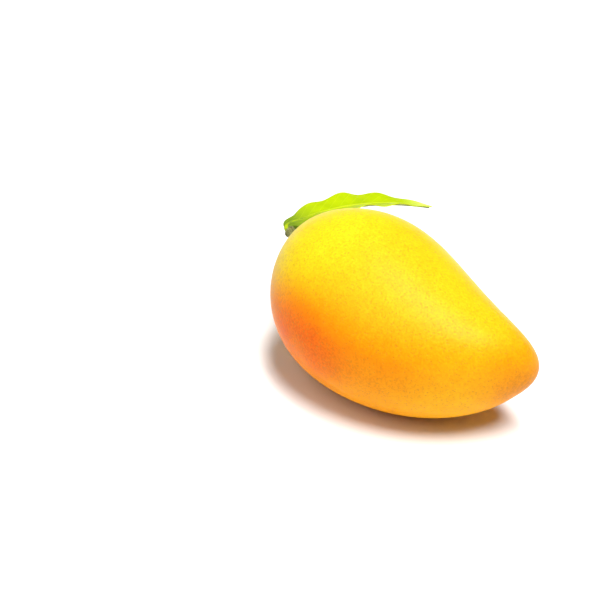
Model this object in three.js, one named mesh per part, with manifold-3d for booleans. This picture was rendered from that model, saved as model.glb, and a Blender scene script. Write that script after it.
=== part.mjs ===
// A ripe yellow mango lying on its cheek, with a stub of its stalk and one leaf.
// Millimetres, +Z up. The origin is the middle of the small flat spot the fruit rests on.
// +X runs along the fruit from the stalk to the beak.
import * as THREE from "three";
import { mergeVertices } from "three/addons/utils/BufferGeometryUtils.js";
import Module from "manifold-3d";

const wasm = await Module();
wasm.setup();

// Driving dimensions
const CLEARANCE = 0.3; // between neighbouring pieces
const DEGREE = Math.PI / 180;
const MERGE_DISTANCE = 1e-3; // corners closer than this are one

// Fruit: an ellipsoid that swells towards the stalk, narrows to the beak and bows sideways there
const FRUIT_LENGTH = 118;
const FRUIT_WIDTH = 75;
const FRUIT_THICKNESS = 65.6;
const FRUIT_DETAIL = 15; // splits along each edge of the starting icosahedron
const SWELL_TO_STALK = 0.15;
const SWELL_AT_ENDS = 0.02;
const SWELL_NARROWING = -0.245;
const BEAK_BOW = 26.8;
const BEAK_BOW_POWER = 4;
const BASIN_DEPTH = 2.2; // hollow that the stalk grows from
const BASIN_SPREAD = 0.2; // radians on the starting sphere
const BASIN_TURN = 9 * DEGREE; // the stalk grows a little to one side of the end

// Pose: rolled on to its cheek, with the beak tipped down
const ROLL = 19.8 * DEGREE;
const PITCH = 11.65 * DEGREE;
const REST_POINT = new THREE.Vector3(1.8, -0.3, -31.2); // of the turned fruit, taken as the origin

// Stalk: a woody stub turned about its own axis, as radius and distance along it
const STALK_FOOT = new THREE.Vector3(-54.5, -4.9, 40.4);
const STALK_DIRECTION = new THREE.Vector3(-0.96, -0.1, 0.17).normalize();
const STALK_SIDES = 28;
const STALK_LENGTH = 11;
const STALK_FOOT_RADIUS = 3.3;
const STALK_PROFILE = [
  [0, 0],
  [STALK_FOOT_RADIUS, 0],
  [3.2, 2.6],
  [2.6, 4.2],
  [2.2, 6.4],
  [2.4, 8.8],
  [2.8, 10.2],
  [2.4, STALK_LENGTH],
  [0, STALK_LENGTH],
];
const SOCKET_RADIUS = STALK_FOOT_RADIUS + CLEARANCE;

// Leaf: one closed body swept along its midrib
const LEAF_STATIONS = 46;
const LEAF_COLUMNS = 14;
const LEAF_TURNS = [
  [-69.6, 3.5, 43.4],
  [-68.8, 16, 44.4],
  [-66.5, 30, 44.5],
  [-63, 48, 42],
  [-59.2, 63.5, 38],
];
const PETIOLE_RADIUS = 1.3;
const PETIOLE_RUN = 2.5; // straight on from the stalk before the leaf turns
const PETIOLE_SHARE = 0.03; // of the leaf's length
const LEAF_HALF_WIDTH = 10.5;
const LEAF_WIDEST_POWER = 1.05;
const LEAF_TIP_HALF_WIDTH = 0.5;
const LEAF_EDGE_THICKNESS = 0.7;
const MIDRIB_TIP_RADIUS = 0.5;
const LEAF_FOLD = 0.22; // rise of each half per millimetre from the midrib
const LEAF_WAVE = 0.9;
const LEAF_WAVES = 4.5;
const LEAF_WAVE_LEAD = 0.9; // radians by which one margin's waves run ahead of the midrib's
const LEAF_TURN_SHARE = 0.3; // of the length, over which the leaf turns from its base to its blade
const SIDE_AT_BASE = new THREE.Vector3(-0.1, 0.2, 1);
const SIDE_AT_TIP = new THREE.Vector3(-0.857, 0.48, -0.27);

// Turns a geometry into a solid.
function solid(geometry) {
  const bare = new THREE.BufferGeometry();
  bare.setAttribute("position", geometry.getAttribute("position"));
  bare.setIndex(geometry.index);
  const merged = mergeVertices(bare, MERGE_DISTANCE);
  return new wasm.Manifold(
    new wasm.Mesh({
      numProp: 3,
      vertProperties: merged.attributes.position.array,
      triVerts: new Uint32Array(merged.index.array),
    }),
  );
}

// Turns a solid into a named mesh.
function mesh(name, body, material) {
  const made = body.getMesh();
  const geometry = new THREE.BufferGeometry();
  geometry.setAttribute("position", new THREE.BufferAttribute(made.vertProperties, 3));
  geometry.setIndex(new THREE.BufferAttribute(made.triVerts, 1));
  geometry.computeVertexNormals();
  const piece = new THREE.Mesh(geometry, material);
  piece.name = name;
  return piece;
}

// Moves a geometry made along +Y so that it starts at the stalk's foot and runs along the stalk.
function alongStalk(geometry) {
  const up = new THREE.Vector3(0, 1, 0);
  geometry.applyQuaternion(new THREE.Quaternion().setFromUnitVectors(up, STALK_DIRECTION));
  return geometry.translate(STALK_FOOT.x, STALK_FOOT.y, STALK_FOOT.z);
}

// Fruit

const basinMiddle = new THREE.Vector3(-Math.cos(BASIN_TURN), -Math.sin(BASIN_TURN), 0);

// The place on the fruit of a point of the unit sphere, before the fruit is laid down.
function fruitPoint(point) {
  const toStalk = -point.x; // 1 at the stalk, -1 at the beak
  const toBeak = (1 - toStalk) / 2;
  const swell =
    1 + SWELL_TO_STALK * toStalk + SWELL_AT_ENDS * toStalk ** 2 + SWELL_NARROWING * toStalk ** 3;
  const basin = BASIN_DEPTH * Math.exp(-((point.angleTo(basinMiddle) / BASIN_SPREAD) ** 2));
  return new THREE.Vector3(
    (FRUIT_LENGTH / 2) * point.x + basin,
    BEAK_BOW * toBeak ** BEAK_BOW_POWER + (FRUIT_WIDTH / 2) * swell * point.y,
    (FRUIT_THICKNESS / 2) * swell * point.z,
  );
}

const fruitGeometry = new THREE.IcosahedronGeometry(1, FRUIT_DETAIL);
const fruitPositions = fruitGeometry.getAttribute("position");
for (let i = 0; i < fruitPositions.count; i++) {
  const placed = fruitPoint(new THREE.Vector3().fromBufferAttribute(fruitPositions, i));
  fruitPositions.setXYZ(i, placed.x, placed.y, placed.z);
}
fruitGeometry.rotateX(ROLL);
fruitGeometry.rotateY(PITCH);
fruitGeometry.translate(-REST_POINT.x, -REST_POINT.y, -REST_POINT.z);

const socketGeometry = new THREE.CylinderGeometry(SOCKET_RADIUS, SOCKET_RADIUS, STALK_LENGTH, STALK_SIDES);
socketGeometry.translate(0, STALK_LENGTH / 2 - CLEARANCE, 0);
const underFloor = new THREE.BoxGeometry(FRUIT_LENGTH, FRUIT_LENGTH, FRUIT_LENGTH);
underFloor.translate(0, 0, -FRUIT_LENGTH / 2);
const fruit = solid(fruitGeometry)
  .subtract(solid(alongStalk(socketGeometry)))
  .subtract(solid(underFloor));

// Stalk

const stalkProfile = STALK_PROFILE.map(([radius, along]) => new THREE.Vector2(radius, along));
const stalk = solid(alongStalk(new THREE.LatheGeometry(stalkProfile, STALK_SIDES)));

// Leaf

const petioleStart = STALK_FOOT.clone().addScaledVector(STALK_DIRECTION, STALK_LENGTH + CLEARANCE);
const petioleEnd = petioleStart.clone().addScaledVector(STALK_DIRECTION, PETIOLE_RUN);
const midrib = new THREE.CatmullRomCurve3([
  petioleStart,
  petioleEnd,
  ...LEAF_TURNS.map((turn) => new THREE.Vector3(...turn)),
]);

// Half the width of the leaf at a share of its length.
function leafHalfWidth(share) {
  const stem = THREE.MathUtils.lerp(PETIOLE_RADIUS, LEAF_TIP_HALF_WIDTH, share);
  const blade = Math.max(0, (share - PETIOLE_SHARE) / (1 - PETIOLE_SHARE));
  return stem + LEAF_HALF_WIDTH * Math.sin(Math.PI * blade ** LEAF_WIDEST_POWER);
}

// A point of the leaf: share along it, column across it from -1 to 1, face 1 above and -1 below.
function leafPoint(share, across, face) {
  const tangent = midrib.getTangentAt(share);
  const turned = THREE.MathUtils.smoothstep(share, 0, LEAF_TURN_SHARE);
  const side = SIDE_AT_BASE.clone().lerp(SIDE_AT_TIP, turned);
  side.addScaledVector(tangent, -side.dot(tangent)).normalize();
  const normal = tangent.clone().cross(side).normalize();
  const halfWidth = leafHalfWidth(share);
  const out = halfWidth * across;
  const ribRadius = THREE.MathUtils.lerp(PETIOLE_RADIUS, MIDRIB_TIP_RADIUS, share);
  const rib = (ribRadius - LEAF_EDGE_THICKNESS / 2) * Math.exp(-((out / ribRadius) ** 2));
  const phase = Math.sign(across) * LEAF_WAVE_LEAD;
  const wave = LEAF_WAVE * across ** 2 * Math.sin(2 * Math.PI * LEAF_WAVES * share + phase);
  const spread = halfWidth / (LEAF_HALF_WIDTH + PETIOLE_RADIUS);
  const lift = LEAF_FOLD * Math.abs(out) + wave * spread + face * (LEAF_EDGE_THICKNESS / 2 + rib);
  return midrib.getPointAt(share).addScaledVector(side, out).addScaledVector(normal, lift);
}

const leafPositions = [];
const leafFaces = [];
const ring = 2 * (LEAF_COLUMNS + 1); // points round one station, the upper face first
for (let i = 0; i <= LEAF_STATIONS; i++) {
  for (const face of [1, -1]) {
    for (let j = 0; j <= LEAF_COLUMNS; j++) {
      const placed = leafPoint(i / LEAF_STATIONS, (2 * j) / LEAF_COLUMNS - 1, face);
      leafPositions.push(placed.x, placed.y, placed.z);
    }
  }
}
const upper = (i, j) => i * ring + j;
const lower = (i, j) => upper(i, j) + LEAF_COLUMNS + 1;

// Adds two triangles over the corners a, b, c and d, split from a to c.
function addQuad(a, b, c, d) {
  leafFaces.push(a, c, b, a, d, c);
}

for (let i = 0; i < LEAF_STATIONS; i++) {
  for (let j = 0; j < LEAF_COLUMNS; j++) {
    addQuad(upper(i, j), upper(i, j + 1), upper(i + 1, j + 1), upper(i + 1, j));
    addQuad(lower(i, j), lower(i + 1, j), lower(i + 1, j + 1), lower(i, j + 1));
  }
  addQuad(upper(i, 0), upper(i + 1, 0), lower(i + 1, 0), lower(i, 0));
  addQuad(
    upper(i, LEAF_COLUMNS),
    lower(i, LEAF_COLUMNS),
    lower(i + 1, LEAF_COLUMNS),
    upper(i + 1, LEAF_COLUMNS),
  );
}
for (let j = 0; j < LEAF_COLUMNS; j++) {
  addQuad(upper(0, j), lower(0, j), lower(0, j + 1), upper(0, j + 1));
  addQuad(
    upper(LEAF_STATIONS, j),
    upper(LEAF_STATIONS, j + 1),
    lower(LEAF_STATIONS, j + 1),
    lower(LEAF_STATIONS, j),
  );
}
const leafGeometry = new THREE.BufferGeometry();
leafGeometry.setAttribute("position", new THREE.Float32BufferAttribute(leafPositions, 3));
leafGeometry.setIndex(leafFaces);
const leaf = solid(leafGeometry);

// Materials and the finished group
const skin = new THREE.MeshStandardMaterial({ color: 0xf2b01e, roughness: 0.45 });
const bark = new THREE.MeshStandardMaterial({ color: 0x6b4a2b, roughness: 0.85 });
const foliage = new THREE.MeshStandardMaterial({ color: 0x86a81c, roughness: 0.5 });

const mango = new THREE.Group();
mango.name = "mango";
mango.add(mesh("fruit", fruit, skin));
mango.add(mesh("stem", stalk, bark));
mango.add(mesh("leaf", leaf, foliage));
export default mango;
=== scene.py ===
"""A ripe yellow mango lying on its cheek, with a stub of its stalk and one folded leaf."""

import math

import bpy
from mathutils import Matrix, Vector


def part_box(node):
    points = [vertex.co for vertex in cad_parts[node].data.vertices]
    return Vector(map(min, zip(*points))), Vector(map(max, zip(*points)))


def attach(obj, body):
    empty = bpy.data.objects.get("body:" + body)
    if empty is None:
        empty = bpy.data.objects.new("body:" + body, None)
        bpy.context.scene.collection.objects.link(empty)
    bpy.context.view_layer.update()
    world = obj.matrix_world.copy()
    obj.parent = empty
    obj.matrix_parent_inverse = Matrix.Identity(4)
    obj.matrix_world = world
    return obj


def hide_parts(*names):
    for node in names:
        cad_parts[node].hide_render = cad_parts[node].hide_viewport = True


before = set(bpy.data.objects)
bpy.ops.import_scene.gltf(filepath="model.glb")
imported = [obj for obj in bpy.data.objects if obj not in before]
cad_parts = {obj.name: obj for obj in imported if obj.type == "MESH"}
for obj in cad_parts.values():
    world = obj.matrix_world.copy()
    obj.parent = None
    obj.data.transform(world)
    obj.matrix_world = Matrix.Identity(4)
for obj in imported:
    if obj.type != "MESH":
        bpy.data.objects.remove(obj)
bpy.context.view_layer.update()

bl_info = {
    "name": "Ripe Mango",
    "version": (1, 0, 0),
    "blender": (4, 5, 0),
    "location": "3D View > Sidebar > Mango",
    "description": "Models a ripe yellow mango with its stalk and one leaf",
    "category": "Add Mesh",
}

BODY = "root"
WHITE = (1.0, 1.0, 1.0, 1.0)
FRUIT_LOW, FRUIT_HIGH = (Vector(corner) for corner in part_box("fruit"))


# Settings


def colour_property(name, description, default):
    """Returns a colour setting with its name, description and default."""
    return bpy.props.FloatVectorProperty(
        name=name,
        description=description,
        subtype="COLOR",
        size=4,
        min=0.0,
        max=1.0,
        default=default,
    )


class FruitSettings(bpy.types.PropertyGroup):
    """Sizes and colours of the fruit"""

    cuts: bpy.props.IntProperty(
        name="Cuts",
        description="Cuts across each side of the starting block",
        default=29,
        min=8,
        max=40,
    )
    evening: bpy.props.IntProperty(
        name="Evening Steps",
        description="Passes that spread the faces evenly over the skin",
        default=6,
        min=0,
        max=20,
    )
    # The sunny side, flank and underside colours are ripe colour with painted light: lit on top, painted
    # shade on the flank, painted floor bounce below
    ripe_and_lit_top_colour: colour_property(
        "Sunny Side",
        "Colour of the ripe side that faces up",
        (0.8, 0.49, 0.008, 1.0),
    )
    flank_and_shade_colour: colour_property(
        "Flank",
        "Colour of the skin at half height",
        (0.9, 0.285, 0.001, 1.0),
    )
    under_and_bounce_colour: colour_property(
        "Underside",
        "Colour of the skin close to the ground",
        (0.95, 0.37, 0.002, 1.0),
    )
    # Painted floor bounce light: a lighter orange patch low on the side towards the beak
    floor_bounce_colour: colour_property(
        "Belly",
        "Lighter orange low on the side towards the beak",
        (0.97, 0.48, 0.006, 1.0),
    )
    # Paler skin round the stalk, also painted on the upper back side as back light
    lemon_and_back_light_colour: colour_property(
        "Lemon Shoulder",
        "Paler colour of the skin round the stalk",
        (0.77, 0.62, 0.012, 1.0),
    )
    # A blush that also holds painted shade and reflection from a neighbouring fruit
    blush_and_shade_colour: colour_property(
        "Blush",
        "Deep orange of the mottled patch low on one side",
        (0.9, 0.12, 0.001, 1.0),
    )
    beak_colour: colour_property(
        "Beak Russet",
        "Brown of the weathered skin at the beak",
        (0.55, 0.21, 0.015, 1.0),
    )
    pore_spacing: bpy.props.FloatProperty(
        name="Pore Spacing",
        description="Distance between the pores of the skin",
        subtype="DISTANCE",
        unit="LENGTH",
        default=0.0014,
        min=0.0004,
    )


class StemSettings(bpy.types.PropertyGroup):
    """Sizes and colours of the stalk"""

    foot: bpy.props.FloatVectorProperty(
        name="Foot",
        description="Where the stalk starts, inside the fruit",
        subtype="TRANSLATION",
        unit="LENGTH",
        size=3,
        default=(-0.0545, -0.0049, 0.0404),
    )
    direction: bpy.props.FloatVectorProperty(
        name="Direction",
        description="The way the stalk grows out of the fruit",
        subtype="DIRECTION",
        size=3,
        default=(-0.96, -0.1, 0.17),
    )
    length: bpy.props.FloatProperty(
        name="Length",
        description="Length of the stalk from its foot to its cut end",
        subtype="DISTANCE",
        unit="LENGTH",
        default=0.011,
        min=0.002,
    )
    bark_colour: colour_property(
        "Bark",
        "Colour of the bark",
        (0.17, 0.18, 0.035, 1.0),
    )
    pale_bark_colour: colour_property(
        "Pale Bark",
        "Colour of the paler patches of the bark",
        (0.28, 0.29, 0.08, 1.0),
    )


class LeafSettings(bpy.types.PropertyGroup):
    """Sizes and colours of the leaf"""

    half_width: bpy.props.FloatProperty(
        name="Half Width",
        description="Widest reach of the blade from the midrib",
        subtype="DISTANCE",
        unit="LENGTH",
        default=0.0108,
        min=0.002,
    )
    thickness: bpy.props.FloatProperty(
        name="Thickness",
        description="Thickness of the blade",
        subtype="DISTANCE",
        unit="LENGTH",
        default=0.0006,
        min=0.0002,
    )
    fold: bpy.props.FloatProperty(
        name="Fold",
        description="Rise of each half of the blade per unit of width",
        default=0.22,
        min=0.0,
        max=1.0,
    )
    wave: bpy.props.FloatProperty(
        name="Wave",
        description="Height of the waves along the margin",
        subtype="DISTANCE",
        unit="LENGTH",
        default=0.0009,
    )
    tilt: bpy.props.FloatProperty(
        name="Tilt",
        description="Lean of the blade about its midrib",
        subtype="ANGLE",
        unit="ROTATION",
        default=math.radians(-12.0),
    )
    blade_colour: colour_property(
        "Blade",
        "Colour of the blade",
        (0.39, 0.49, 0.001, 1.0),
    )
    # Painted shade: darker green at the base of the blade, where no light shines through it; the midrib uses
    # it as its darker tone
    shade_colour: colour_property(
        "Blade Base",
        "Colour of the shaded green at the base of the blade",
        (0.14, 0.22, 0.015, 1.0),
    )
    tip_colour: colour_property(
        "Tip",
        "Paler green of the thin tip",
        (0.74, 0.84, 0.22, 1.0),
    )
    vein_colour: colour_property(
        "Veins",
        "Colour of the midrib, veins and rim",
        (0.56, 0.66, 0.02, 1.0),
    )


class StageSettings(bpy.types.PropertyGroup):
    """Floor, light and camera"""

    floor_size: bpy.props.FloatProperty(
        name="Floor Size",
        description="Width of the floor",
        subtype="DISTANCE",
        unit="LENGTH",
        default=40.0,
    )
    floor_colour: colour_property(
        "Floor",
        "Colour of the floor",
        (0.92, 0.92, 0.92, 1.0),
    )
    camera_place: bpy.props.FloatVectorProperty(
        name="Camera Place",
        description="Where the camera stands",
        subtype="TRANSLATION",
        unit="LENGTH",
        size=3,
        default=(0.39519, -0.2585, 0.34742),
    )
    camera_azimuth: bpy.props.FloatProperty(
        name="Camera Azimuth",
        description="Turn of the camera about the vertical",
        subtype="ANGLE",
        unit="ROTATION",
        default=math.radians(60.76),
    )
    camera_elevation: bpy.props.FloatProperty(
        name="Camera Elevation",
        description="How far the camera looks down",
        subtype="ANGLE",
        unit="ROTATION",
        default=math.radians(32.955),
    )
    lens: bpy.props.FloatProperty(
        name="Lens",
        description="Focal length in millimetres",
        default=85.0,
    )


# Modelling helpers


def deselect_all():
    """Leaves edit mode and clears the selection."""
    if bpy.context.object and bpy.context.object.mode != "OBJECT":
        bpy.ops.object.mode_set(mode="OBJECT")
    bpy.ops.object.select_all(action="DESELECT")


def select_points(piece, wanted):
    """Selects the vertices of a piece in edit mode for which wanted(place) is true."""
    bpy.ops.object.mode_set(mode="EDIT")
    bpy.ops.mesh.select_mode(type="VERT")
    bpy.ops.mesh.select_all(action="DESELECT")
    bpy.ops.object.mode_set(mode="OBJECT")
    for vertex in piece.data.vertices:
        vertex.select = wanted(vertex.co)
    bpy.ops.object.mode_set(mode="EDIT")


def apply_modifiers(piece):
    """Applies every modifier of a piece in order."""
    deselect_all()
    piece.select_set(True)
    bpy.context.view_layer.objects.active = piece
    for modifier in list(piece.modifiers):
        bpy.ops.object.modifier_apply(modifier=modifier.name)


def add_subdivision(piece, levels):
    """Adds a subdivision surface with the same levels in view and render."""
    rounding = piece.modifiers.new("Rounding", "SUBSURF")
    rounding.levels = levels
    rounding.render_levels = levels


def finish_piece(piece, node):
    """Names a finished piece and ties it to the frame."""
    piece.name = node + "_visual"
    piece.data.name = node + "_visual"
    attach(piece, BODY)
    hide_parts(node)


# Material helpers


def new_material(name):
    """Returns a fresh node material with its tree and its Principled shader."""
    material = bpy.data.materials.new(name)
    material.use_nodes = True
    tree = material.node_tree
    return material, tree, tree.nodes["Principled BSDF"]


def add_node(tree, kind, **values):
    """Adds a node and sets its own properties."""
    node = tree.nodes.new(kind)
    for name, value in values.items():
        setattr(node, name, value)
    return node


def object_place(tree):
    """Returns the socket of the place in the object's own coordinates."""
    return add_node(tree, "ShaderNodeTexCoord").outputs["Object"]


def noise(tree, place, scale, detail, roughness=0.5):
    """Returns the value of a noise pattern."""
    node = add_node(tree, "ShaderNodeTexNoise")
    node.inputs["Scale"].default_value = scale
    node.inputs["Detail"].default_value = detail
    node.inputs["Roughness"].default_value = roughness
    tree.links.new(place, node.inputs["Vector"])
    return node.outputs["Fac"]


def map_range(tree, value, low, high, to_low=0.0, to_high=1.0, smooth=False):
    """Returns a value moved from one range to another and held within it."""
    node = add_node(tree, "ShaderNodeMapRange", clamp=True)
    if smooth:
        node.interpolation_type = "SMOOTHSTEP"
    node.inputs["From Min"].default_value = low
    node.inputs["From Max"].default_value = high
    node.inputs["To Min"].default_value = to_low
    node.inputs["To Max"].default_value = to_high
    tree.links.new(value, node.inputs["Value"])
    return node.outputs["Result"]


def math_node(tree, operation, first, second):
    """Returns the result of a calculation on sockets or numbers."""
    node = add_node(tree, "ShaderNodeMath", operation=operation)
    for socket, value in zip(node.inputs, (first, second)):
        if isinstance(value, (int, float)):
            socket.default_value = value
        else:
            tree.links.new(value, socket)
    return node.outputs["Value"]


def mix_colour(tree, mask, first, second, blend="MIX"):
    """Returns first and second mixed by mask. Each colour is a socket or four numbers."""
    node = add_node(tree, "ShaderNodeMix", data_type="RGBA", blend_type=blend)
    for index, value in ((0, mask), (6, first), (7, second)):
        if hasattr(value, "is_linked"):
            tree.links.new(value, node.inputs[index])
        else:
            node.inputs[index].default_value = value
    return node.outputs[2]


def distance_mask(tree, place, middle, reach, fade, squeeze=(1.0, 1.0, 1.0)):
    """Returns 1 within reach of a point, falling to 0 over the fade, on squeezed axes."""
    offset = add_node(tree, "ShaderNodeVectorMath", operation="SUBTRACT")
    tree.links.new(place, offset.inputs[0])
    offset.inputs[1].default_value = middle
    squeezed = add_node(tree, "ShaderNodeVectorMath", operation="MULTIPLY")
    tree.links.new(offset.outputs["Vector"], squeezed.inputs[0])
    squeezed.inputs[1].default_value = squeeze
    length = add_node(tree, "ShaderNodeVectorMath", operation="LENGTH")
    tree.links.new(squeezed.outputs["Vector"], length.inputs[0])
    return map_range(tree, length.outputs["Value"], reach, reach + fade, 1.0, 0.0, smooth=True)


def link_bump(tree, shader, height, strength, distance):
    """Feeds a height to the shader's normal."""
    bump = add_node(tree, "ShaderNodeBump")
    bump.inputs["Strength"].default_value = strength
    bump.inputs["Distance"].default_value = distance
    tree.links.new(height, bump.inputs["Height"])
    tree.links.new(bump.outputs["Normal"], shader.inputs["Normal"])


def grain_group():
    """Returns the shared group that puts out a soft mottling and a fine grain."""
    group = bpy.data.node_groups.get("Mottled Grain")
    if group:
        return group
    group = bpy.data.node_groups.new("Mottled Grain", "ShaderNodeTree")
    group.interface.new_socket("Place", in_out="INPUT", socket_type="NodeSocketVector")
    for name, default in (("Mottle Scale", 40.0), ("Grain Scale", 1200.0)):
        socket = group.interface.new_socket(name, in_out="INPUT", socket_type="NodeSocketFloat")
        socket.default_value = default
    group.interface.new_socket("Mottle", in_out="OUTPUT", socket_type="NodeSocketFloat")
    group.interface.new_socket("Grain", in_out="OUTPUT", socket_type="NodeSocketFloat")
    start = add_node(group, "NodeGroupInput")
    end = add_node(group, "NodeGroupOutput")
    for source, detail, target in (("Mottle Scale", 3.0, "Mottle"), ("Grain Scale", 2.0, "Grain")):
        pattern = add_node(group, "ShaderNodeTexNoise")
        pattern.inputs["Detail"].default_value = detail
        group.links.new(start.outputs["Place"], pattern.inputs["Vector"])
        group.links.new(start.outputs[source], pattern.inputs["Scale"])
        spread = map_range(group, pattern.outputs["Fac"], 0.3, 0.7)
        group.links.new(spread, end.inputs[target])
    return group


def add_grain(tree, place, mottle_scale, grain_scale):
    """Places the shared grain group and returns its mottle and grain sockets."""
    node = add_node(tree, "ShaderNodeGroup", node_tree=grain_group())
    node.inputs["Mottle Scale"].default_value = mottle_scale
    node.inputs["Grain Scale"].default_value = grain_scale
    tree.links.new(place, node.inputs["Place"])
    return node.outputs["Mottle"], node.outputs["Grain"]


# Materials


# Zones of the skin, as middle, reach and fade in metres
LEMON_ZONE = ((-0.034, -0.01, 0.06), 0.01, 0.034)
# Painted floor bounce light, low on the side towards the beak
FLOOR_BOUNCE_ZONE = ((0.05, 0.004, 0.018), 0.006, 0.03)
# Blush with painted shade and reflection from a neighbouring fruit, low on one side
BLUSH_AND_SHADE_ZONE = ((-0.007, -0.036, 0.031), 0.002, 0.028)
BLUSH_AND_SHADE_SQUEEZE = (0.7, 1.0, 1.1)
NOSE_ZONE = ((0.057, 0.028, 0.032), 0.006, 0.02)
BEAK_ZONE = ((0.058, 0.027, 0.025), 0.001, 0.014)
# Heights between which the skin turns from underside to flank, and from flank to sunny side; the ripe
# colours carry painted light here: a lit top, a painted shade band on the flank and painted floor bounce on
# the underside
FLANK_RISE = (0.012, 0.03)
LIT_TOP_RISE = (0.03, 0.054)
LIT_TOP_LEAN = (0.0, 0.3, 1.0)
# Where the lemon colour comes in at the back as painted back light on the upper back side, and where it ends
# towards the beak
BACK_LIGHT_START, BACK_LIGHT_END = 0.004, 0.034
BACK_LIGHT_FADE_START, BACK_LIGHT_FADE_END = 0.01, 0.04
BACK_LIGHT_STRENGTH = 0.45


def ripe_skin(settings):
    """Waxy mango skin: lemon above, orange below, with a blush, pores and a russet beak; the ripe colours
    carry painted light: a lit top, a painted shade band on the flank, painted floor bounce below and low
    towards the beak, painted back light on the upper back, and painted shade in the blush.
    """
    material, tree, shader = new_material("ripe_skin")
    place = object_place(tree)
    mottle, grain = add_grain(tree, place, mottle_scale=38.0, grain_scale=1100.0)
    lean = add_node(tree, "ShaderNodeVectorMath", operation="DOT_PRODUCT")
    tree.links.new(place, lean.inputs[0])
    lean.inputs[1].default_value = LIT_TOP_LEAN
    drift = map_range(tree, mottle, 0.0, 1.0, -0.003, 0.003)
    height = math_node(tree, "ADD", lean.outputs["Value"], drift)
    # Ripe colour by height, with painted light: lit top, painted shade band on the flank, painted floor
    # bounce on the underside
    low_mask = map_range(tree, height, *FLANK_RISE, smooth=True)
    high_mask = map_range(tree, height, *LIT_TOP_RISE)
    lower = mix_colour(tree, low_mask, settings.under_and_bounce_colour, settings.flank_and_shade_colour)
    colour = mix_colour(tree, high_mask, lower, settings.ripe_and_lit_top_colour)

    lemon = distance_mask(tree, place, *LEMON_ZONE)
    colour = mix_colour(tree, lemon, colour, settings.lemon_and_back_light_colour)
    # Painted back light: lemon colour on the upper back side, ending before the beak
    split = add_node(tree, "ShaderNodeSeparateXYZ")
    tree.links.new(place, split.inputs["Vector"])
    painted_back_light = map_range(tree, split.outputs["Y"], BACK_LIGHT_START, BACK_LIGHT_END, 0.0, BACK_LIGHT_STRENGTH, smooth=True)
    painted_back_light = math_node(tree, "MULTIPLY", painted_back_light, high_mask)
    before_beak = map_range(tree, split.outputs["X"], BACK_LIGHT_FADE_START, BACK_LIGHT_FADE_END, 1.0, 0.0)
    painted_back_light = math_node(tree, "MULTIPLY", painted_back_light, before_beak)
    colour = mix_colour(tree, painted_back_light, colour, settings.lemon_and_back_light_colour)
    # Painted floor bounce light: lighter orange low on the side towards the beak
    floor_bounce = distance_mask(tree, place, *FLOOR_BOUNCE_ZONE)
    colour = mix_colour(tree, math_node(tree, "MULTIPLY", floor_bounce, 0.9), colour, settings.floor_bounce_colour)

    # Blush, partly the fruit's own and partly painted shade and reflection from a neighbouring fruit
    blush_and_shade = distance_mask(tree, place, *BLUSH_AND_SHADE_ZONE, squeeze=BLUSH_AND_SHADE_SQUEEZE)
    blush_and_shade = math_node(tree, "MULTIPLY", blush_and_shade, map_range(tree, mottle, 0.0, 1.0, 0.5, 1.0))
    colour = mix_colour(tree, blush_and_shade, colour, settings.blush_and_shade_colour)

    nose = distance_mask(tree, place, *NOSE_ZONE)
    colour = mix_colour(tree, math_node(tree, "MULTIPLY", nose, 0.6), colour, settings.flank_and_shade_colour)
    beak = distance_mask(tree, place, *BEAK_ZONE)
    specks = map_range(tree, noise(tree, place, scale=620.0, detail=4.0, roughness=0.7), 0.42, 0.66)
    beak = math_node(tree, "MULTIPLY", beak, map_range(tree, specks, 0.0, 1.0, 0.15, 0.75))
    colour = mix_colour(tree, beak, colour, settings.beak_colour)

    pores = add_node(tree, "ShaderNodeTexVoronoi", feature="F1")
    pores.inputs["Scale"].default_value = 1.0 / settings.pore_spacing
    tree.links.new(place, pores.inputs["Vector"])
    dots = map_range(tree, pores.outputs["Distance"], 0.12, 0.34, 1.0, 0.0, smooth=True)
    patches = map_range(tree, noise(tree, place, scale=190.0, detail=5.0, roughness=0.65), 0.36, 0.62)
    cloud = mix_colour(tree, patches, (0.96, 0.92, 0.86, 1.0), WHITE)
    colour = mix_colour(tree, 1.0, colour, cloud, blend="MULTIPLY")
    shade = mix_colour(tree, grain, (0.8, 0.76, 0.6, 1.0), WHITE)
    colour = mix_colour(tree, 1.0, colour, shade, blend="MULTIPLY")
    dot_strength = math_node(tree, "MULTIPLY", dots, 0.5)
    colour = mix_colour(tree, dot_strength, colour, settings.beak_colour)
    tree.links.new(colour, shader.inputs["Base Color"])

    roughness = map_range(tree, grain, 0.0, 1.0, 0.33, 0.48)
    tree.links.new(roughness, shader.inputs["Roughness"])
    shader.inputs["Specular IOR Level"].default_value = 0.085
    shader.inputs["Specular Tint"].default_value = (1.0, 0.95, 0.8, 1.0)
    shader.inputs["Subsurface Weight"].default_value = 0.12
    shader.inputs["Subsurface Radius"].default_value = (1.0, 0.5, 0.1)
    shader.inputs["Subsurface Scale"].default_value = 0.004
    relief = math_node(tree, "SUBTRACT", math_node(tree, "MULTIPLY", grain, 0.6), dots)
    link_bump(tree, shader, relief, strength=0.22, distance=0.00025)
    return material


CRACK_COLOUR = (0.09, 0.075, 0.02, 1.0)


def stalk_bark(settings):
    """Dry cracked bark of the stalk."""
    material, tree, shader = new_material("stalk_bark")
    place = object_place(tree)
    mottle, grain = add_grain(tree, place, mottle_scale=420.0, grain_scale=1900.0)
    crack = map_range(tree, noise(tree, place, scale=900.0, detail=6.0, roughness=0.7), 0.45, 0.6)
    colour = mix_colour(tree, mottle, settings.bark_colour, settings.pale_bark_colour)
    colour = mix_colour(tree, crack, colour, CRACK_COLOUR)
    tree.links.new(colour, shader.inputs["Base Color"])
    shader.inputs["Roughness"].default_value = 0.82
    relief = math_node(tree, "SUBTRACT", grain, crack)
    link_bump(tree, shader, relief, strength=0.6, distance=0.0005)
    return material


# Pairs of side veins, and how far each one leans to the tip per unit across the leaf's map
SIDE_VEINS = 15.0
VEIN_LEAN = 0.28


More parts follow.
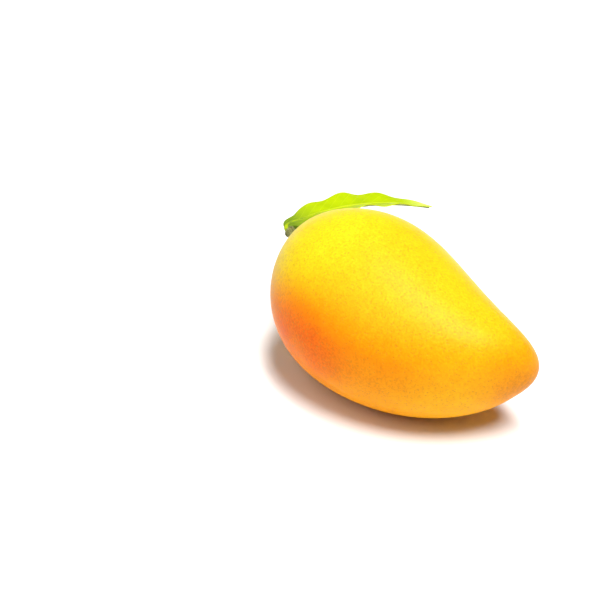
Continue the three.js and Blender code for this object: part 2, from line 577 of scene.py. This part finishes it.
def leaf_blade(settings):
    """Satin green blade with paler veins that follow the leaf's own map, painted shade at its base and a
    paler tip.
    """
    material, tree, shader = new_material("leaf_blade")
    place = object_place(tree)
    mottle, grain = add_grain(tree, place, mottle_scale=150.0, grain_scale=2200.0)
    own_map = add_node(tree, "ShaderNodeUVMap", uv_map="UVMap")
    split = add_node(tree, "ShaderNodeSeparateXYZ")
    tree.links.new(own_map.outputs["UV"], split.inputs["Vector"])
    along = split.outputs["X"]
    from_rib = math_node(tree, "ABSOLUTE", math_node(tree, "SUBTRACT", split.outputs["Y"], 0.5), 0.0)
    slant = math_node(tree, "SUBTRACT", along, math_node(tree, "MULTIPLY", from_rib, VEIN_LEAN))
    beat = math_node(tree, "PINGPONG", math_node(tree, "MULTIPLY", slant, SIDE_VEINS), 0.5)
    side_vein = map_range(tree, beat, 0.0, 0.09, 1.0, 0.0, smooth=True)
    main_vein = map_range(tree, from_rib, 0.02, 0.06, 1.0, 0.0, smooth=True)
    rim = map_range(tree, from_rib, 0.465, 0.495, smooth=True)
    veins = math_node(tree, "MAXIMUM", math_node(tree, "MULTIPLY", side_vein, 0.3), main_vein)
    pale = math_node(tree, "MAXIMUM", veins, math_node(tree, "MULTIPLY", rim, 0.7))

    # Painted shade at the base of the blade, fading out along it
    out_of_base_shade = map_range(tree, along, 0.04, 0.32, smooth=True)
    colour = mix_colour(tree, out_of_base_shade, settings.shade_colour, settings.blade_colour)
    # Paler towards the tip
    tip_paleness = map_range(tree, along, 0.8, 1.0, 0.0, 0.75, smooth=True)
    colour = mix_colour(tree, tip_paleness, colour, settings.tip_colour)
    tone = mix_colour(tree, mottle, (0.78, 0.84, 0.7, 1.0), WHITE)
    colour = mix_colour(tree, 1.0, colour, tone, blend="MULTIPLY")
    colour = mix_colour(tree, math_node(tree, "MULTIPLY", pale, 0.7), colour, settings.vein_colour)
    tree.links.new(colour, shader.inputs["Base Color"])
    tree.links.new(map_range(tree, grain, 0.0, 1.0, 0.34, 0.48), shader.inputs["Roughness"])
    shader.inputs["Specular IOR Level"].default_value = 0.1
    shader.inputs["Subsurface Weight"].default_value = 0.1
    shader.inputs["Subsurface Radius"].default_value = (0.6, 1.0, 0.1)
    shader.inputs["Subsurface Scale"].default_value = 0.002
    relief = math_node(tree, "ADD", veins, math_node(tree, "MULTIPLY", grain, 0.15))
    link_bump(tree, shader, relief, strength=0.5, distance=0.0004)
    return material


def leaf_rib(settings):
    """Waxy green of the midrib and the leaf's own stalk."""
    material, tree, shader = new_material("leaf_rib")
    mottle, grain = add_grain(tree, object_place(tree), mottle_scale=260.0, grain_scale=2400.0)
    colour = mix_colour(tree, mottle, settings.shade_colour, settings.blade_colour)
    tree.links.new(colour, shader.inputs["Base Color"])
    tree.links.new(map_range(tree, grain, 0.0, 1.0, 0.4, 0.55), shader.inputs["Roughness"])
    shader.inputs["Specular IOR Level"].default_value = 0.15
    link_bump(tree, shader, grain, strength=0.3, distance=0.0002)
    return material


def pale_floor(settings):
    """Plain pale floor with a barely uneven surface."""
    material, tree, shader = new_material("pale_floor")
    mottle = add_grain(tree, object_place(tree), mottle_scale=3.0, grain_scale=500.0)[0]
    shader.inputs["Base Color"].default_value = settings.floor_colour
    tree.links.new(map_range(tree, mottle, 0.0, 1.0, 0.6, 0.7), shader.inputs["Roughness"])
    shader.inputs["Specular IOR Level"].default_value = 0.2
    return material


# Pieces


class MANGO_OT_fruit(bpy.types.Operator):
    """Model the fruit: a rounded block drawn on to the solid of the fruit and evened out"""

    bl_idname = "mango.fruit"
    bl_label = "Fruit"

    # The tip of the beak, drawn out a little with the skin around it
    BEAK_TIP = Vector((0.0573, 0.033, 0.033))
    BEAK_GRIP = 0.003
    BEAK_PULL = (0.0011, 0.0009, -0.0008)
    BEAK_REACH = 0.016
    EVENING_FACTOR = 0.5
    SETTLING_STEPS = 2
    ROUNDING = 2

    def execute(self, context):
        settings = context.scene.mango_fruit
        deselect_all()
        bpy.ops.mesh.primitive_cube_add(size=1.0)
        fruit = context.object
        bpy.ops.object.mode_set(mode="EDIT")
        bpy.ops.mesh.select_all(action="SELECT")
        bpy.ops.mesh.subdivide(number_cuts=settings.cuts)
        bpy.ops.transform.tosphere(value=1.0)
        bpy.ops.object.mode_set(mode="OBJECT")
        radius = fruit.data.vertices[0].co.length
        half = (FRUIT_HIGH - FRUIT_LOW) / 2
        bpy.ops.object.mode_set(mode="EDIT")
        bpy.ops.mesh.select_all(action="SELECT")
        bpy.ops.transform.resize(value=half / radius)
        bpy.ops.transform.translate(value=(FRUIT_LOW + FRUIT_HIGH) / 2)
        bpy.ops.object.mode_set(mode="OBJECT")
        bpy.ops.object.shade_smooth()

        for name, method in (("Draw In", "PROJECT"), ("Settle", "NEAREST_SURFACEPOINT")):
            wrap = fruit.modifiers.new(name, "SHRINKWRAP")
            wrap.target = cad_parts["fruit"]
            wrap.wrap_method = method
            if method == "PROJECT":
                wrap.use_negative_direction = True
                wrap.use_positive_direction = True
            even = fruit.modifiers.new(name + " Evenly", "SMOOTH")
            even.factor = self.EVENING_FACTOR
            even.iterations = settings.evening if method == "PROJECT" else self.SETTLING_STEPS
        apply_modifiers(fruit)

        select_points(fruit, lambda co: (co - self.BEAK_TIP).length < self.BEAK_GRIP)
        bpy.ops.transform.translate(
            value=self.BEAK_PULL,
            use_proportional_edit=True,
            proportional_edit_falloff="SMOOTH",
            proportional_size=self.BEAK_REACH,
        )
        bpy.ops.object.mode_set(mode="OBJECT")
        add_subdivision(fruit, self.ROUNDING)
        apply_modifiers(fruit)
        fruit.data.materials.append(ripe_skin(settings))
        finish_piece(fruit, "fruit")
        return {"FINISHED"}


class MANGO_OT_stem(bpy.types.Operator):
    """Model the stalk: a flared stub with cracked bark and a cut end"""

    bl_idname = "mango.stem"
    bl_label = "Stem"

    # Rings of the stalk after its foot, as share of the length and radius
    RINGS = (
        (0.24, 0.0032),
        (0.38, 0.0026),
        (0.58, 0.0022),
        (0.8, 0.0024),
        (0.93, 0.0028),
        (1.0, 0.0024),
    )
    FOOT_RADIUS = 0.0033
    SIDES = 20
    ROUNDING = 3
    # The cut end, with its rim and its sunk pith
    RIM_WIDTH = 0.0005
    PITH_SLOPE = 0.0007
    PITH_DEPTH = 0.0004
    KNOT_SIZE = 0.0022
    KNOT_HEIGHT = 0.0006

    def execute(self, context):
        settings = context.scene.mango_stem
        deselect_all()
        bpy.ops.mesh.primitive_circle_add(vertices=self.SIDES, radius=self.FOOT_RADIUS, fill_type="NGON")
        stem = context.object
        bpy.ops.object.mode_set(mode="EDIT")
        bpy.ops.mesh.select_all(action="SELECT")
        share, radius = 0.0, self.FOOT_RADIUS
        for next_share, next_radius in self.RINGS:
            rise = (next_share - share) * settings.length
            bpy.ops.mesh.extrude_region_move(TRANSFORM_OT_translate={"value": (0.0, 0.0, rise)})
            growth = next_radius / radius
            bpy.ops.transform.resize(value=(growth, growth, 1.0))
            share, radius = next_share, next_radius
        bpy.ops.mesh.inset(thickness=self.RIM_WIDTH)
        bpy.ops.mesh.inset(thickness=self.PITH_SLOPE)
        bpy.ops.transform.translate(value=(0.0, 0.0, -self.PITH_DEPTH))
        bpy.ops.mesh.select_all(action="SELECT")
        bpy.ops.mesh.normals_make_consistent(inside=False)
        bpy.ops.object.mode_set(mode="OBJECT")
        bpy.ops.object.shade_smooth()
        add_subdivision(stem, self.ROUNDING)
        knots = bpy.data.textures.new("stalk_knots", "CLOUDS")
        knots.noise_scale = self.KNOT_SIZE
        rough = stem.modifiers.new("Knots", "DISPLACE")
        rough.texture = knots
        rough.strength = self.KNOT_HEIGHT
        rough.mid_level = 0.5
        stem.rotation_mode = "QUATERNION"
        stem.rotation_quaternion = Vector(settings.direction).to_track_quat("Z", "Y")
        stem.location = settings.foot
        apply_modifiers(stem)
        bpy.ops.object.transform_apply(location=True, rotation=True, scale=True)
        stem.rotation_mode = "XYZ"
        stem.data.materials.append(stalk_bark(settings))
        finish_piece(stem, "stem")
        return {"FINISHED"}


class MANGO_OT_leaf(bpy.types.Operator):
    """Model the leaf: a waved blade folded along its midrib and bent along its line"""

    bl_idname = "mango.leaf"
    bl_label = "Leaf"

    # The line of the midrib after the stalk, from the leaf's own stalk to its tip
    LINE = (
        (-0.0696, 0.0035, 0.0434),
        (-0.0688, 0.0160, 0.0444),
        (-0.0665, 0.0300, 0.0445),
        (-0.0630, 0.0480, 0.0420),
        (-0.0592, 0.0635, 0.0380),
    )
    STATIONS = 60
    COLUMNS = 14
    STALK_SHARE = 0.03
    WIDEST_POWER = 0.86
    STALK_GAP = 0.0001
    STALK_RUN = 0.0025
    LINE_STEPS = 24
    ROUNDING = 1
    LEAST_REACH = 0.0004
    RIB_SIDES = 12
    RIB_BASE_RADIUS = 0.0013
    RIB_TIP_RADIUS = 0.0004
    RIB_TAPER_POWER = 0.6
    RIB_SHARE = 0.985
    WAVES = 4.5
    # Radians by which the waves of one margin run ahead of the midrib and the other's behind
    WAVE_LEAD = 0.9
    # How close its points lie to a row or station, on the flat grid and on the shaped blade
    NEAR_ON_GRID = 1e-3
    NEAR_ON_BLADE = 1e-6
    # The blade's base is fuller and droops on the side towards the fruit
    FRUIT_SIDE = -1.0
    LOBE_REACH = 0.004
    LOBE_DROOP = 0.004
    LOBE_SHARE = 0.1
    LOBE_SPREAD = 0.08

    def add_line(self, context):
        """Adds the curve that the leaf follows, and returns it with its length."""
        stem = context.scene.mango_stem
        direction = Vector(stem.direction).normalized()
        start = Vector(stem.foot) + direction * (stem.length + self.STALK_GAP)
        points = [start, start + direction * self.STALK_RUN]
        points += [Vector(point) for point in self.LINE]
        bpy.ops.curve.primitive_bezier_curve_add()
        line = context.object
        line.data.dimensions = "3D"
        line.data.resolution_u = self.LINE_STEPS
        line.data.twist_mode = "Z_UP"
        spline = line.data.splines[0]
        spline.bezier_points.add(len(points) - len(spline.bezier_points))
        for knot, point in zip(spline.bezier_points, points):
            knot.co = point
            knot.handle_left_type = "AUTO"
            knot.handle_right_type = "AUTO"
            knot.tilt = context.scene.mango_leaf.tilt
        context.view_layer.update()
        return line, spline.calc_length()

    def lobe(self, share, sign):
        """Returns how much of the base's lobe there is on one side at a share of the length."""
        if sign != self.FRUIT_SIDE:
            return 0.0
        return math.exp(-(((share - self.LOBE_SHARE) / self.LOBE_SPREAD) ** 2))

    def half_width(self, share, settings):
        """Returns the reach of the blade, without its lobe, at a share of the leaf's length."""
        blade = max(0.0, (share - self.STALK_SHARE) / (1.0 - self.STALK_SHARE))
        return self.LEAST_REACH + settings.half_width * math.sin(math.pi * blade**self.WIDEST_POWER)

    def add_blade(self, length, settings):
        """Adds the flat blade along +X, shapes its outline, folds and waves it."""
        deselect_all()
        bpy.ops.mesh.primitive_grid_add(
            x_subdivisions=self.STATIONS,
            y_subdivisions=self.COLUMNS,
            size=2.0,
            calc_uvs=True,
        )
        blade = bpy.context.object
        bpy.ops.object.mode_set(mode="EDIT")
        for row in range(self.COLUMNS + 1):
            side = 2.0 * row / self.COLUMNS - 1.0
            select_points(blade, lambda co: abs(co.y - side) < self.NEAR_ON_GRID)
            bpy.ops.transform.translate(value=(0.0, 0.0, settings.fold * abs(side)))
        for station in range(self.STATIONS + 1):
            share = station / self.STATIONS
            line = 2.0 * share - 1.0

            def at_station(co, line=line):
                return abs(co.x - line) < self.NEAR_ON_GRID

            for sign in (-1.0, 1.0):
                lobe = self.lobe(share, sign)
                reach = self.half_width(share, settings) + self.LOBE_REACH * lobe
                select_points(blade, lambda co: at_station(co) and co.y * sign > self.NEAR_ON_BLADE)
                bpy.ops.transform.resize(value=(1.0, reach, reach), center_override=(line, 0.0, 0.0))
                for ring in range(1, self.COLUMNS // 2 + 1):
                    across = 2.0 * ring / self.COLUMNS
                    lift = settings.wave * across**2 * reach / settings.half_width
                    lift *= math.sin(2.0 * math.pi * self.WAVES * share + self.WAVE_LEAD * sign)
                    lift -= self.LOBE_DROOP * lobe * across**2
                    edge = sign * across * reach
                    select_points(blade, lambda co: at_station(co) and abs(co.y - edge) < self.NEAR_ON_BLADE)
                    bpy.ops.transform.translate(value=(0.0, 0.0, lift))
        bpy.ops.mesh.select_all(action="SELECT")
        bpy.ops.transform.translate(value=(1.0, 0.0, 0.0))
        bpy.ops.transform.resize(value=(length / 2.0, 1.0, 1.0), center_override=(0.0, 0.0, 0.0))
        bpy.ops.object.mode_set(mode="OBJECT")
        solid = blade.modifiers.new("Thickness", "SOLIDIFY")
        solid.thickness = settings.thickness
        solid.offset = 0.0
        apply_modifiers(blade)
        return blade

    def add_rib(self, length):
        """Adds the tapered midrib along +X, which is also the leaf's own stalk."""
        deselect_all()
        bpy.ops.mesh.primitive_circle_add(
            vertices=self.RIB_SIDES,
            radius=self.RIB_BASE_RADIUS,
            fill_type="NGON",
        )
        rib = bpy.context.object
        bpy.ops.object.mode_set(mode="EDIT")
        bpy.ops.mesh.select_all(action="SELECT")
        bpy.ops.transform.rotate(value=-math.pi / 2, orient_axis="Y", center_override=(0.0, 0.0, 0.0))
        radius = self.RIB_BASE_RADIUS
        taper = self.RIB_TIP_RADIUS - self.RIB_BASE_RADIUS
        step = self.RIB_SHARE * length / self.STATIONS
        for station in range(self.STATIONS):
            share = (station + 1) / self.STATIONS
            next_radius = self.RIB_BASE_RADIUS + taper * share**self.RIB_TAPER_POWER
            bpy.ops.mesh.extrude_region_move(TRANSFORM_OT_translate={"value": (step, 0.0, 0.0)})
            growth = next_radius / radius
            bpy.ops.transform.resize(value=(1.0, growth, growth))
            radius = next_radius
        bpy.ops.mesh.select_all(action="SELECT")
        bpy.ops.mesh.normals_make_consistent(inside=False)
        bpy.ops.transform.translate(value=(0.0, 0.0, -self.RIB_TIP_RADIUS))
        bpy.ops.object.mode_set(mode="OBJECT")
        return rib

    def execute(self, context):
        settings = context.scene.mango_leaf
        deselect_all()
        line, length = self.add_line(context)
        blade = self.add_blade(length, settings)
        rib = self.add_rib(length)
        for material in (leaf_blade(settings), leaf_rib(settings)):
            blade.data.materials.append(material)
            rib.data.materials.append(material)
        for polygon in rib.data.polygons:
            polygon.material_index = 1
        deselect_all()
        rib.select_set(True)
        blade.select_set(True)
        context.view_layer.objects.active = blade
        bpy.ops.object.join()
        leaf = context.object
        bend = leaf.modifiers.new("Follow the Line", "CURVE")
        bend.object = line
        bend.deform_axis = "POS_X"
        add_subdivision(leaf, self.ROUNDING)
        apply_modifiers(leaf)
        bpy.ops.object.shade_smooth()
        bpy.data.objects.remove(line)
        finish_piece(leaf, "leaf")
        return {"FINISHED"}


class MANGO_OT_stage(bpy.types.Operator):
    """Set the floor, the soft light and the camera"""

    bl_idname = "mango.stage"
    bl_label = "Stage"

    # Soft overhead light, even over the whole floor
    KEY_PLACE = Vector((0.35, 0.05, 1.05))
    KEY_SPREAD = math.radians(28.0)
    KEY_STRENGTH = 3.8
    # Soft boxes, as name, place, size and power in watts
    BOXES = (
        ("back_box", Vector((-0.06, 0.1, 1.0)), 0.28, 5.5),
        ("side_box", Vector((0.05, -0.7, 0.9)), 0.8, 3.0),
    )
    AIM = Vector((0.0, 0.0, 0.03))
    SURROUND_LIGHT = 0.06
    SENSOR_WIDTH = 36.0
    NEAREST_SEEN = 0.01

    def add_light(self, context, kind, name, place):
        """Adds a light that aims at the object and returns its data."""
        bpy.ops.object.light_add(type=kind, location=place)
        light = context.object
        light.name = name
        light.rotation_euler = (self.AIM - place).to_track_quat("-Z", "Y").to_euler()
        return light.data

    def white_surround(self):
        """Returns a world that shows white and gives only a little light."""
        world = bpy.data.worlds.new("white_surround")
        world.use_nodes = True
        tree = world.node_tree
        seen = add_node(tree, "ShaderNodeLightPath").outputs["Is Camera Ray"]
        strength = map_range(tree, seen, 0.0, 1.0, self.SURROUND_LIGHT, 1.0)
        background = tree.nodes["Background"]
        background.inputs["Color"].default_value = WHITE
        tree.links.new(strength, background.inputs["Strength"])
        return world

    def execute(self, context):
        settings = context.scene.mango_stage
        deselect_all()
        bpy.ops.mesh.primitive_plane_add(size=settings.floor_size)
        floor = context.object
        floor.name = "floor"
        floor.data.materials.append(pale_floor(settings))

        key = self.add_light(context, "SUN", "key_light", self.KEY_PLACE)
        key.angle = self.KEY_SPREAD
        key.energy = self.KEY_STRENGTH
        for name, place, size, power in self.BOXES:
            box = self.add_light(context, "AREA", name, place)
            box.size = size
            box.energy = power
        context.scene.world = self.white_surround()
        context.scene.view_settings.view_transform = "Standard"

        tilt = math.pi / 2 - settings.camera_elevation
        bpy.ops.object.camera_add(
            location=settings.camera_place,
            rotation=(tilt, 0.0, settings.camera_azimuth),
        )
        camera = context.object
        camera.data.lens = settings.lens
        camera.data.sensor_width = self.SENSOR_WIDTH
        camera.data.clip_start = self.NEAREST_SEEN
        context.scene.camera = camera
        return {"FINISHED"}


class MANGO_PT_panel(bpy.types.Panel):
    """Lists the pieces and their settings"""

    bl_idname = "MANGO_PT_panel"
    bl_label = "Mango"
    bl_space_type = "VIEW_3D"
    bl_region_type = "UI"
    bl_category = "Mango"

    def draw(self, context):
        for name in ("fruit", "stem", "leaf", "stage"):
            box = self.layout.box()
            box.operator("mango." + name)
            settings = getattr(context.scene, "mango_" + name)
            for key in settings.bl_rna.properties.keys():
                if key not in ("rna_type", "name"):
                    box.prop(settings, key)


SETTINGS = {
    "mango_fruit": FruitSettings,
    "mango_stem": StemSettings,
    "mango_leaf": LeafSettings,
    "mango_stage": StageSettings,
}
CLASSES = (MANGO_OT_fruit, MANGO_OT_stem, MANGO_OT_leaf, MANGO_OT_stage, MANGO_PT_panel)


def register():
    """Registers the settings, operators and panel."""
    for name, settings in SETTINGS.items():
        bpy.utils.register_class(settings)
        setattr(bpy.types.Scene, name, bpy.props.PointerProperty(type=settings))
    for made in CLASSES:
        bpy.utils.register_class(made)


def unregister():
    """Removes everything that register added."""
    for made in reversed(CLASSES):
        bpy.utils.unregister_class(made)
    for name, settings in SETTINGS.items():
        delattr(bpy.types.Scene, name)
        bpy.utils.unregister_class(settings)


def main():
    """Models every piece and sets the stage."""
    register()
    bpy.ops.mango.stage()
    bpy.ops.mango.fruit()
    bpy.ops.mango.stem()
    bpy.ops.mango.leaf()


if __name__ == "__main__":
    main()
